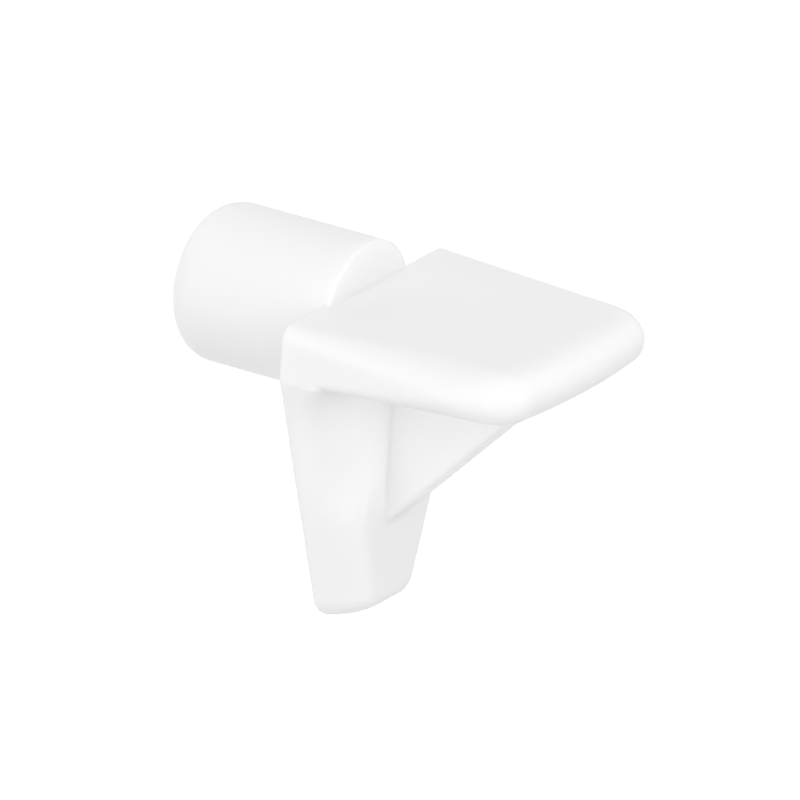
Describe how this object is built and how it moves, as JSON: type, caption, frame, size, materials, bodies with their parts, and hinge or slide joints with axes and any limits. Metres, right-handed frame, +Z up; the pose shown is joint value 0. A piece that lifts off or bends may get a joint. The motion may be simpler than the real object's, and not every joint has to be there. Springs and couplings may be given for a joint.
{
  "type": "shelf support pin",
  "caption": "Moulded plastic shelf support pin: a round peg for the hole in a cabinet wall, a flat rest with a bullnose front, and a tapered leg braced by a web.",
  "frame": {"origin": "on the peg's axis, in the plane of the cabinet wall that the leg's flat back bears on", "axes": "+X out of the cabinet wall, along the rest; the peg runs along -X into the wall; +Y across the rest; +Z up, towards the shelf"},
  "size_m": [0.0176, 0.0118, 0.0152],
  "materials": {
    "white_plastic": "satin-gloss milky white injection-moulded plastic, with broad soft highlights"
  },
  "bodies": {
    "root": {"shelf_pin": "white_plastic"}
  },
  "joints": []
}
